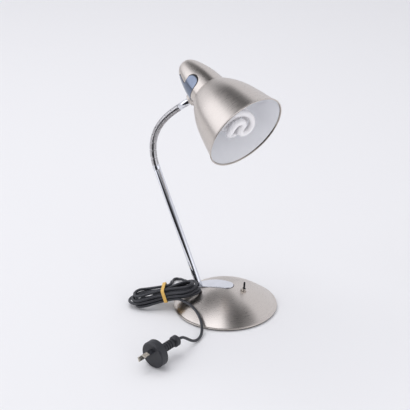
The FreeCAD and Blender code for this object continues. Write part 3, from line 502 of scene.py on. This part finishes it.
# ---- base -----------------------------------------------------------------
def make_dome():
    """Outer skin as a true arc, rolled rim and in-turned lip."""
    edge = math.degrees(math.asin((BASE_RADIUS - RIM_ROLL) / SPHERE_RADIUS))
    profile = [(0.0, PAD_TOP + DOME_RISE)]
    profile += arc_points(0, SPHERE_CENTRE, SPHERE_RADIUS, 89, 90 - edge, 60)
    roll_z = PAD_TOP + RIM_ROLL
    profile = [p for p in profile if p[1] > roll_z + 0.6]
    profile += arc_points(BASE_RADIUS - RIM_ROLL, roll_z, RIM_ROLL, 44, -90, 10)
    profile += [(BASE_RADIUS - DOME_LIP, PAD_TOP), (BASE_RADIUS - DOME_LIP, PAD_TOP + DOME_WALL)]
    inner = SPHERE_RADIUS - DOME_WALL
    low = math.degrees(math.asin((PAD_TOP + DOME_WALL - SPHERE_CENTRE) / inner))
    profile += arc_points(0, SPHERE_CENTRE, inner, low, 89, 30)
    profile += [(0.0, PAD_TOP + DOME_RISE - DOME_WALL)]
    mesh = lathe_mesh("base_shell", profile, BROAD_STEPS)
    add_object("base_shell", mesh, Matrix.Identity(4), "base", NICKEL, ["base_dome"])


def circle_through(a, b, c, count):
    """Points on the arc from a through b to c, in the plane."""
    ax, ay = a
    bx, by = b
    cx, cy = c
    d = 2 * (ax * (by - cy) + bx * (cy - ay) + cx * (ay - by))
    ux = ((ax * ax + ay * ay) * (by - cy) + (bx * bx + by * by) * (cy - ay)
          + (cx * cx + cy * cy) * (ay - by)) / d
    uy = ((ax * ax + ay * ay) * (cx - bx) + (bx * bx + by * by) * (ax - cx)
          + (cx * cx + cy * cy) * (bx - ax)) / d
    radius = math.hypot(ax - ux, ay - uy)
    start = math.atan2(ay - uy, ax - ux)
    through = math.atan2(by - uy, bx - ux)
    end = math.atan2(cy - uy, cx - ux)
    turn = (end - start) % (2 * math.pi)
    if (through - start) % (2 * math.pi) > turn:
        turn -= 2 * math.pi
    return [(ux + radius * math.cos(start + turn * k / count),
             uy + radius * math.sin(start + turn * k / count)) for k in range(count)]


def leaf_outline():
    fx, fw = LEAF_FRONT
    mx, mw = LEAF_MIDDLE
    rx, rw = LEAF_REAR
    points = circle_through((fx, -fw), (fx + fw, 0), (fx, fw), 36)
    points += circle_through((fx, fw), (mx, mw), (rx, rw), 40)
    points += circle_through((rx, rw), (rx - rw, 0), (rx, -rw), 30)
    points += circle_through((rx, -rw), (mx, -mw), (fx, -fw), 40)
    return points


def ringed_patch(name, outline, centre, rings, lift):
    """Patch of rings that shrink to a centre; lift maps (u, v, rise) to 3-D."""
    bm = bmesh.new()
    made = []
    for share, rise in rings:
        ring = []
        for u, v in outline:
            ring.append(bm.verts.new(lift(centre[0] + (u - centre[0]) * share,
                                          centre[1] + (v - centre[1]) * share, rise)))
        made.append(ring)
    middle = bm.verts.new(lift(centre[0], centre[1], rings[-1][1]))
    n = len(outline)
    for low, high in zip(made, made[1:]):
        for k in range(n):
            bm.faces.new((low[k], low[(k + 1) % n], high[(k + 1) % n], high[k]))
    for k in range(n):
        bm.faces.new((made[-1][k], made[-1][(k + 1) % n], middle))
    return mesh_from(bm, name)


def make_leaf():
    """Polished leaf plate that follows the dome, with a rounded edge."""
    def lift(x, y, rise):
        r = SPHERE_RADIUS + rise
        return (x, y, SPHERE_CENTRE + math.sqrt(r * r - x * x - y * y))

    rings = [(1.0, 0.0), (1.0, LEAF_RISE - LEAF_BEVEL)]
    for k in range(1, 6):
        a = math.radians(90 * k / 5)
        rings.append((1 - LEAF_BEVEL * (1 - math.cos(a)) / LEAF_SPAN,
                      LEAF_RISE - LEAF_BEVEL * (1 - math.sin(a))))
    rings += [(share, LEAF_RISE) for share in (0.9, 0.8, 0.7, 0.6, 0.5, 0.4, 0.3, 0.2, 0.1)]
    mesh = ringed_patch("leaf_plate", leaf_outline(), LEAF_CENTRE, rings, lift)
    add_object("leaf_plate", mesh, Matrix.Identity(4), "base", CHROME, ["base_leaf"], 50)

    # Near-black strip just outside the leaf's edge: painted shadow in the gap between plate and dome.
    line = [(1.0 + LEAF_SHADOW_WIDTH / LEAF_SPAN, 0.02), (0.97, 0.05)]
    seam = ringed_patch("leaf_gap_shadow", leaf_outline(), LEAF_CENTRE, line, lift)
    add_object("leaf_gap_shadow", seam, Matrix.Identity(4), "base", GAP_SHADOW_PAINT)


# ---- stem -----------------------------------------------------------------
def make_stem():
    """Polished tube from inside the dome to the cap at the gooseneck."""
    along = joint_place("neck_bend") - STEM_FOOT
    end = along.length - CAP_LENGTH
    profile = [(STEM_BORE, -STEM_SUNK), (STEM_RADIUS, -STEM_SUNK), (STEM_RADIUS, end - STEM_CHAMFER),
               (STEM_RADIUS - STEM_CHAMFER, end), (STEM_BORE, end)]
    mesh = lathe_mesh("stem_skin", profile, NARROW_STEPS)
    add_object("stem_skin", mesh, axes_at(STEM_FOOT, along, SIDEWAYS), "base", CHROME,
               ["stem_tube"], 50)


def make_ferrule():
    """Smooth end piece of the gooseneck with its spigot into the head."""
    start = (PIVOT - NECK_END).length - LINK_GAP / 2
    profile = [(FERRULE_BORE, SPIGOT_END), (SPIGOT_RADIUS, SPIGOT_END), (SPIGOT_RADIUS, BOSS_REACH + 0.1),
               (STEM_RADIUS - 0.4, BOSS_REACH + 0.1), (STEM_RADIUS, BOSS_REACH + 0.5),
               (STEM_RADIUS, start - FERRULE_CHAMFER), (STEM_RADIUS - FERRULE_CHAMFER, start),
               (FERRULE_BORE, start)]
    mesh = lathe_mesh("ferrule_skin", profile, NARROW_STEPS)
    add_object("ferrule_skin", mesh, axes_at(PIVOT, -FERRULE, SIDEWAYS), "ferrule", CHROME,
               ["upper_ferrule"], 50)


# ---- gooseneck ------------------------------------------------------------
def link_station(point, angle, turn, travel):
    """Point and angle on a link's arc."""
    rate = math.radians(turn) / LINK_LENGTH
    start = math.radians(angle)
    now = start - rate * travel
    dx = (math.sin(start) - math.sin(now)) / rate
    dz = (math.cos(now) - math.cos(start)) / rate
    return point + Vector((dx, 0, dz)), math.degrees(now)


def make_links():
    """Rounded ribs along each link's arc, as one continuous flexible tube."""
    point = joint_place("neck_bend")
    angle = NECK_START_ANGLE
    first = (LINK_LENGTH - (RIB_COUNT - 1) * RIB_PITCH - RIB_WIDTH) / 2
    stations = [(first + k * RIB_PITCH + u * RIB_WIDTH, RIB_GROOVE + (RIB_CREST - RIB_GROOVE) * rise)
                for k in range(RIB_COUNT) for u, rise in RIB_SHAPE]
    for index, turn in enumerate(LINK_TURNS):
        bm = bmesh.new()
        rings = []
        for travel, radius in stations:
            place, now = link_station(point, angle, turn, travel)
            across = polar(now + 90)
            ring = []
            for s in range(LINK_STEPS):
                a = 2 * math.pi * s / LINK_STEPS
                ring.append(bm.verts.new(place + SIDEWAYS * radius * math.cos(a)
                                         + across * radius * math.sin(a)))
            rings.append(ring)
        for low, high in zip(rings, rings[1:]):
            for s in range(LINK_STEPS):
                j = (s + 1) % LINK_STEPS
                bm.faces.new((low[s], low[j], high[j], high[s]))
        bm.faces.new(rings[0])
        bm.faces.new(rings[-1])
        mesh = mesh_from(bm, "neck_ribs")
        add_object("neck_ribs_%02d" % (index + 1), mesh, Matrix.Identity(4), "link_%02d" % (index + 1),
                   FLEX, sharp=60)
        point, angle = link_station(point, angle, turn, LINK_LENGTH)


# ---- head -----------------------------------------------------------------
FERRULE = Vector(joint_named("head_swivel")["axis"]).normalized()
PIVOT = joint_place("head_swivel")
LEVEL = Matrix.Rotation(math.radians(HEAD_TILT), 3, "Y") @ FERRULE
HEAD_AXIS = Matrix.Rotation(math.radians(HEAD_TURN), 3, FERRULE) @ LEVEL
HEAD = axes_at(PIVOT + HEAD_AXIS * MOUTH_TO_PIVOT, -HEAD_AXIS, -FERRULE)


def offset_inward(profile, distance):
    out = []
    for i, (r, s) in enumerate(profile):
        r0, s0 = profile[max(i - 1, 0)]
        r1, s1 = profile[min(i + 1, len(profile) - 1)]
        length = math.hypot(r1 - r0, s1 - s0)
        out.append((r - (s1 - s0) / length * distance, s + (r1 - r0) / length * distance))
    return out


def drop_seam(mesh, reverse=False):
    """Opens a turned wall: takes off the faces that join its two ends."""
    bm = bmesh.new()
    bm.from_mesh(mesh)
    seam = [f for f in bm.faces
            if max(v.co.z for v in f.verts) - min(v.co.z for v in f.verts) > SEAM_RISE]
    bmesh.ops.delete(bm, geom=seam, context="FACES_ONLY")
    if reverse:
        bmesh.ops.reverse_faces(bm, faces=bm.faces)
    bm.to_mesh(mesh)
    bm.free()


def make_shade():
    """Spun bell: satin outside, paint inside, rolled bead at the lip."""
    outer = [tuple(p) for p in smooth_profile(SHADE_OUTLINE, 70)]
    inner = offset_inward(outer, SHADE_WALL)
    bead_r = (outer[0][0] + inner[0][0]) / 2
    outside = arc_points(bead_r, LIP_BEAD, LIP_BEAD, -150, 75, 14)
    outside += [p for p in outer if p[1] > LIP_BEAD * 2]
    outside += [(CREASE_RADIUS, CREASE_BACK), (SHADE_HOLE + 0.1, CREASE_BACK),
                (SHADE_HOLE, CREASE_BACK - 0.02)]
    mesh = lathe_mesh("shade_outside", outside, BROAD_STEPS)
    drop_seam(mesh)
    inside = [p for p in inner if p[1] > LIP_BEAD * 1.2]
    inside[-1] = (inside[-1][0], CREASE_BACK - SHADE_WALL)
    inside += [(SHADE_HOLE, CREASE_BACK - SHADE_WALL)]
    liner = lathe_mesh("shade_inside", inside, BROAD_STEPS)
    drop_seam(liner, reverse=True)
    add_object("shade_outside", mesh, HEAD, "head", NICKEL, ["shade"], 40)
    add_object("shade_inside", liner, HEAD, "head", PAINT, ["shade"], 40)


COVER = [tuple(p) for p in smooth_profile(COVER_OUTLINE, 90)]


def cover_radius(back):
    for (r0, s0), (r1, s1) in zip(COVER, COVER[1:]):
        if s0 <= back <= s1:
            return r0 + (r1 - r0) * (back - s0) / (s1 - s0)
    return COVER[0][0] if back < COVER[0][1] else 0.0


def make_cover():
    inner = offset_inward(COVER[:-1], COVER_WALL)
    profile = [(0.0, COVER[-1][1])] + COVER[-2::-1] + [p for p in inner if p[0] > 1.0]
    profile += [(0.0, COVER[-1][1] - COVER_WALL)]
    mesh = lathe_mesh("cover_skin", profile, COVER_STEPS)
    add_object("cover_skin", mesh, HEAD, "head", NICKEL, ["neck_cover"], 40)

    tilt = math.radians(HEAD_TILT)
    toward = Vector((math.sin(tilt), 0, math.cos(tilt)))
    where = HEAD @ axes_at(Vector((0, 0, MOUTH_TO_PIVOT)), toward, SIDEWAYS)
    r = BOSS_RADIUS
    rise = BOSS_REACH
    section = [(BOSS_BORE, BOSS_FOOT), (r + 1.2, BOSS_FOOT), (r + 0.4, rise - 2.4), (r, rise - 1.2)]
    section += arc_points(r - BOSS_EDGE, rise - BOSS_EDGE, BOSS_EDGE, 0, 90, 6) + [(BOSS_BORE, rise)]
    boss = lathe_mesh("cover_boss", section, NARROW_STEPS)
    add_object("cover_boss", boss, where, "head", NICKEL)


def saddle_outline():
    """Outline in (angle, back): band with round ends and a tongue behind."""
    middle = (SADDLE_FRONT + SADDLE_BACK) / 2
    per_degree = math.radians(1) * SADDLE_COVER_RADIUS
    half = SADDLE_HALF_ANGLE
    tongue = TONGUE_HALF_ANGLE
    flare = tongue + TONGUE_FLARE
    root = SADDLE_BACK + TONGUE_FILLET
    nose = TONGUE_BACK - TONGUE_NOSE
    right = [(half * k / 45, SADDLE_FRONT) for k in range(46)]
    for k in range(1, 30):
        a = math.radians(-90 + 180 * k / 30)
        right.append((half + LOBE_RADIUS * math.cos(a) / per_degree, middle + LOBE_RADIUS * math.sin(a)))
    right += [(half + (flare - half) * k / 13, SADDLE_BACK) for k in range(14)]
    for k in range(1, 8):
        a = math.radians(90 * k / 8)
        right.append((flare - TONGUE_FLARE * math.sin(a), SADDLE_BACK + TONGUE_FILLET * (1 - math.cos(a))))
    right += [(tongue, root + (nose - root) * k / 15) for k in range(16)]
    for k in range(1, 8):
        a = math.radians(90 * k / 8)
        right.append((tongue - TONGUE_TAPER * (1 - math.cos(a)), nose + TONGUE_NOSE * math.sin(a)))
    right += [((tongue - TONGUE_TAPER) * (1 - k / 26), TONGUE_BACK) for k in range(26)]
    left = [(-a, s) for a, s in reversed(right[1:])]
    return right + [(0.0, TONGUE_BACK)] + left


def make_saddle():
    outline = saddle_outline()

    def lift(angle, back, rise):
        step = SADDLE_SLOPE_STEP
        r = cover_radius(back)
        slope = (cover_radius(back + step) - cover_radius(back - step)) / (2 * step)
        lean = math.hypot(1, slope)
        a = math.radians(angle)
        out = r + rise / lean
        return (out * math.cos(a), out * math.sin(a), back - rise * slope / lean)

    rings = [(1.0, -0.3), (1.0, SADDLE_PROUD * 0.4)]
    for k in range(1, 5):
        a = math.radians(90 * k / 4)
        rings.append((1 - SADDLE_EDGE * (1 - math.cos(a)), SADDLE_PROUD * (0.4 + 0.6 * math.sin(a))))
    rings += [(0.93 - 0.07 * k, SADDLE_PROUD) for k in range(13)]
    mesh = ringed_patch("saddle_plate", outline, SADDLE_CENTRE, rings, lift)
    # The saddle plate's colour is the dark blue painted reflection.
    add_object("saddle_plate", mesh, HEAD, "head", SADDLE_REFLECTION, ["neck_saddle"], 50)
    # Near-black strip round the saddle's edge: painted shadow in the gap between plate and cover.
    gap = ringed_patch("saddle_gap_shadow", outline, SADDLE_CENTRE, GAP_SHADOW_RINGS, lift)
    add_object("saddle_gap_shadow", gap, HEAD, "head", GAP_SHADOW_PAINT)


# ---- cords ----------------------------------------------------------------
def hank_matrix():
    heading = Matrix.Rotation(math.radians(HANK_HEADING), 4, "Z")
    turn = heading @ Matrix.Rotation(-math.radians(HANK_SLOPE), 4, "Y")
    turn.translation = HANK_MIDDLE
    return turn


HANK = hank_matrix()


def waist_share(a):
    return (1 - math.cos(math.pi * a / TURN_A)) / 2


def bundle_point(a, side, half_run, layer):
    across = half_run + WAIST * waist_share(a)
    return Vector((a, -side * across, (layer - 1.5) * STRAND_STEP))


def bundle_direction(a, side, travel):
    slope = WAIST * math.sin(math.pi * a / TURN_A) * math.pi / (2 * TURN_A)
    return Vector((travel, -side * slope * travel, 0)).normalized()


def hank_points():
    """Control points of the bundle's turns, in the bundle's own frame."""
    points = []
    layer = 0
    last = len(HALF_RUNS) - 1
    chooser = random.Random(HANK_SEED)
    for h, half_run in enumerate(HALF_RUNS):
        side = 1 if h % 2 == 0 else -1
        travel = -side
        next_layer = layer + 1 if h in CLIMBS else layer
        start_a = START_A - 1.0 if h == 0 else -travel * TURN_A
        end_a = END_A if h == last else travel * TURN_A
        if h == 0:
            points.append(bundle_point(START_A, side, half_run, layer))
        for share in RUN_STATIONS:
            a = travel * TURN_A * share
            if (a - start_a) * travel <= 1.5 or (end_a - a) * travel <= 1.5:
                continue
            climb = layer + (next_layer - layer) * (0.5 + 0.5 * share)
            stray = Vector((0, chooser.uniform(-1, 1), chooser.uniform(-1, 1))) * STRAND_STRAY
            points.append(bundle_point(a, side, half_run, climb) + stray * abs(share))
        layer = next_layer
        if h == last:
            direction = bundle_direction(END_A, side, travel)
            end = bundle_point(END_A, side, half_run, layer)
            points.append(end - direction * 4.0)
            points.append(end)
            continue
        radius = (half_run + HALF_RUNS[h + 1]) / 2 + WAIST
        centre = Vector((travel * TURN_A, -side * (half_run - HALF_RUNS[h + 1]) / 2,
                         (layer - 1.5) * STRAND_STEP))
        loose = chooser.uniform(*LOOP_SPREAD)
        lift = chooser.uniform(*LOOP_LIFT)
        for k in range(7):
            a = math.radians(15 + 25 * k)
            points.append(centre + Vector((travel * (radius * LOOP_SWELL + loose) * math.sin(a),
                                           -side * radius * LOOP_SWELL * math.cos(a), lift * math.sin(a))))
    return [HANK @ p for p in points]


def nurbs_cord(name, points, material):
    curve = bpy.data.curves.new(name, "CURVE")
    curve.dimensions = "3D"
    spline = curve.splines.new("NURBS")
    spline.points.add(len(points) - 1)
    for place, target in zip(points, spline.points):
        target.co = (*(place * MM), 1.0)
    spline.order_u = 3
    spline.use_endpoint_u = True
    spline.resolution_u = 10
    curve.bevel_depth = CORD_DIAMETER / 2 * MM
    curve.bevel_resolution = 6
    curve.use_fill_caps = True
    curve.materials.append(material)
    obj = link_object(name, curve)
    return obj


def plug_matrix():
    pitch = math.radians(PLUG_PITCH)
    heading = math.radians(PLUG_HEADING)
    normal = Vector((math.cos(pitch) * math.cos(heading), math.cos(pitch) * math.sin(heading),
                     math.sin(pitch)))
    return axes_at(PLUG_FACE, normal, PLUG_HINT)


PLUG_FRAME = plug_matrix()


def make_cord():
    """The whole lead as one spline: base, loop on the floor, hank, plug."""
    outward = Vector((math.cos(math.radians(EXIT_AZIMUTH)), math.sin(math.radians(EXIT_AZIMUTH)), 0))
    leave = Vector((0, 0, EXIT_HEIGHT)) + outward * EXIT_REACH
    hank = hank_points()
    first = hank[0]
    first_heading = HANK.to_3x3() @ bundle_direction(START_A, 1, -1)
    last = hank[-1]
    last_heading = HANK.to_3x3() @ bundle_direction(END_A, -1, 1)
    lead = [last + last_heading * LEAD_FIRST_RUN]
    lead += [HANK @ Vector(p) for p in LEAD_OVER_BUNDLE]
    lead += [Vector(p) for p in LEAD_ROUTE]
    lead += [leave + outward * LEAD_LAST_RUN, leave]
    boot = PLUG_FRAME @ Vector((0, 0, -BOOT_END))
    back = PLUG_FRAME.to_3x3() @ Vector((0, 0, -1))
    tail = [first - first_heading * TAIL_FIRST_RUN]
    tail += [Vector(p) for p in TAIL_ROUTE]
    tail += [boot + back * TAIL_LAST_RUN, boot]
    points = tail[::-1] + hank + lead
    obj = nurbs_cord("mains_lead", points, SHEATH)
    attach(obj, "base")
    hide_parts("cord_lead", "cord_hank", "cord_tail")
    length = spline_length(obj)


def spline_length(obj):
    """Length of the spline's own line, without its thickness."""
    copy = obj.copy()
    copy.data = obj.data.copy()
    copy.data.bevel_depth = 0
    bpy.context.scene.collection.objects.link(copy)
    bpy.context.view_layer.update()
    mesh = bpy.data.meshes.new_from_object(copy)
    places = [v.co for v in mesh.vertices]
    total = sum((places[e.vertices[0]] - places[e.vertices[1]]).length for e in mesh.edges)
    bpy.data.objects.remove(copy)
    bpy.data.meshes.remove(mesh)
    return total


# ---- room -----------------------------------------------------------------
def make_camera():
    data = bpy.data.cameras.new("camera")
    data.sensor_width = CAMERA_SENSOR
    data.lens = FOCAL_PIXELS / PICTURE_WIDTH * CAMERA_SENSOR
    data.clip_end = 20.0
    camera = link_object("camera", data)
    a = math.radians(CAMERA_AZIMUTH)
    e = math.radians(CAMERA_ELEVATION)
    right = Vector((math.cos(a), math.sin(a), 0))
    forward = Vector((-math.sin(a) * math.cos(e), math.cos(a) * math.cos(e), -math.sin(e)))
    up = right.cross(forward)
    matrix = Matrix((right, up, -forward)).transposed().to_4x4()
    matrix.translation = CAMERA_AT
    camera.matrix_world = matrix
    bpy.context.scene.camera = camera


def make_floor():
    """White sheet under the lamp; the floor in front of it stays unseen in metal."""
    shader = Shader("floor_paper")
    shader.values(Roughness=0.9, Specular_IOR_Level=0.1)
    shader.colours(shader.noise(shader.coordinates(), 1.2), FLOOR_COLOUR, FLOOR_COLOUR)
    a = math.radians(CAMERA_AZIMUTH)
    right = Vector((math.cos(a), math.sin(a), 0))
    back = Vector((-math.sin(a), math.cos(a), 0))
    for name, front, rear, seen in (("floor", -SHEET_FRONT, FLOOR_REACH, True),
                                    ("floor_front", -FLOOR_REACH, -SHEET_FRONT, False)):
        mesh = bpy.data.meshes.new(name)
        corners = [right * side * FLOOR_REACH + back * reach
                   for side, reach in ((-1, front), (1, front), (1, rear), (-1, rear))]
        mesh.from_pydata(corners, [], [(0, 1, 2, 3)])
        mesh.materials.append(shader.material)
        floor = link_object(name, mesh)
        floor.visible_glossy = seen


def make_world():
    """Pale surround; glossy rays also see the dark side of the studio."""
    world = bpy.data.worlds.new("studio")
    bpy.context.scene.world = world
    world.use_nodes = True
    tree = world.node_tree
    background = tree.nodes["Background"]
    background.inputs["Strength"].default_value = WORLD_STRENGTH
    background.inputs["Color"].default_value = (*WORLD_PALE, 1)
    coordinates = tree.nodes.new("ShaderNodeTexCoord")
    glossy = tree.nodes.new("ShaderNodeBackground")
    level = None
    for direction, inner, outer, amount in ZONES:
        dot = tree.nodes.new("ShaderNodeVectorMath")
        dot.operation = "DOT_PRODUCT"
        dot.inputs[1].default_value = Vector(direction).normalized()
        tree.links.new(coordinates.outputs["Generated"], dot.inputs[0])
        span = tree.nodes.new("ShaderNodeMapRange")
        span.interpolation_type = "SMOOTHSTEP"
        span.inputs["From Min"].default_value = math.cos(math.radians(outer))
        span.inputs["From Max"].default_value = math.cos(math.radians(inner))
        span.inputs["To Min"].default_value = 1.0
        span.inputs["To Max"].default_value = amount
        tree.links.new(dot.outputs["Value"], span.inputs["Value"])
        times = tree.nodes.new("ShaderNodeMath")
        times.operation = "MULTIPLY"
        times.inputs[1].default_value = GLOSSY_BASE
        tree.links.new(span.outputs["Result"], times.inputs[0])
        if level is not None:
            tree.links.new(level, times.inputs[1])
        level = times.outputs[0]
    glossy.inputs["Color"].default_value = (*GLOSSY_TINT, 1)
    tree.links.new(level, glossy.inputs["Strength"])
    path = tree.nodes.new("ShaderNodeLightPath")
    mix = tree.nodes.new("ShaderNodeMixShader")
    tree.links.new(path.outputs["Is Glossy Ray"], mix.inputs["Fac"])
    tree.links.new(background.outputs[0], mix.inputs[1])
    tree.links.new(glossy.outputs[0], mix.inputs[2])
    backdrop = tree.nodes.new("ShaderNodeBackground")
    backdrop.inputs["Color"].default_value = (*BACKDROP, 1)
    shown = tree.nodes.new("ShaderNodeMixShader")
    tree.links.new(path.outputs["Is Camera Ray"], shown.inputs["Fac"])
    tree.links.new(mix.outputs[0], shown.inputs[1])
    tree.links.new(backdrop.outputs[0], shown.inputs[2])
    tree.links.new(shown.outputs[0], tree.nodes["World Output"].inputs["Surface"])


def make_lamps():
    """Area lamps; none of them is seen in the metal."""
    for name, place, size, power in LAMPS:
        light = bpy.data.lights.new(name, "AREA")
        light.shape = "SQUARE"
        light.size = size
        light.energy = power
        obj = link_object(name, light)
        obj.location = place
        toward = LAMP_TARGET - Vector(place)
        obj.rotation_euler = toward.to_track_quat("-Z", "Y").to_euler()
        obj.visible_glossy = False


make_camera()
make_cord()
dress_cad_nodes()
make_dome()
make_leaf()
make_stem()
make_links()
make_ferrule()
make_shade()
make_cover()
make_saddle()
make_floor()
make_world()
make_lamps()

bpy.context.scene.view_settings.view_transform = "Standard"
bpy.context.view_layer.update()
